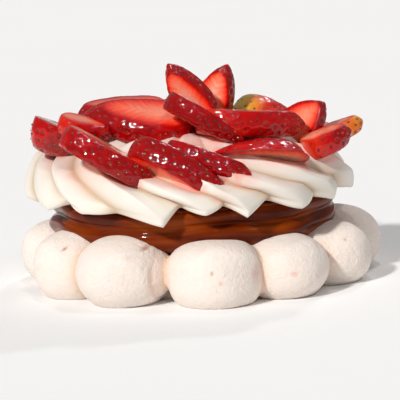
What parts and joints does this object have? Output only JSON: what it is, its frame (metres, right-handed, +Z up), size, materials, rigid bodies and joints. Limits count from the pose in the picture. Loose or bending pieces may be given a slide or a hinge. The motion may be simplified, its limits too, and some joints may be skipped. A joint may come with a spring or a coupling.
{
  "type": "pavlova",
  "caption": "Small round pavlova: a ring of piped meringue bulbs, a caramel layer, star-piped cream and glazed strawberry slices on top.",
  "frame": {"origin": "centre of the cake's underside, on the surface that it stands on", "axes": "+Z up along the cake's axis, -Y towards the front that the picture shows, +X to its right"},
  "size_m": [0.1206, 0.1209, 0.0716],
  "materials": {
    "meringue": "matt baked meringue, fine pores",
    "caramel": "soft glossy caramel",
    "cream": "smooth satin whipped cream",
    "strawberry": "glazed strawberry, wet and glossy"
  },
  "bodies": {
    "root": {"caramel": "caramel", "cream": "cream", "meringue": "meringue", "slice_back_1": "strawberry", "slice_back_2": "strawberry", "slice_back_3": "strawberry", "slice_back_4": "strawberry", "slice_back_5": "strawberry", "slice_back_6": "strawberry", "slice_back_unripe": "strawberry", "slice_centre_dark": "strawberry", "slice_centre_short": "strawberry", "slice_front_long": "strawberry", "slice_left_end": "strawberry", "slice_left_small": "strawberry", "slice_right_end": "strawberry", "slice_right_front": "strawberry", "slice_right_large": "strawberry", "slice_right_tip": "strawberry", "slice_right_upright": "strawberry", "slice_top_left": "strawberry", "slice_top_slope": "strawberry", "slice_top_wide": "strawberry", "slice_upright_left": "strawberry", "slice_upright_right": "strawberry"}
  },
  "joints": []
}
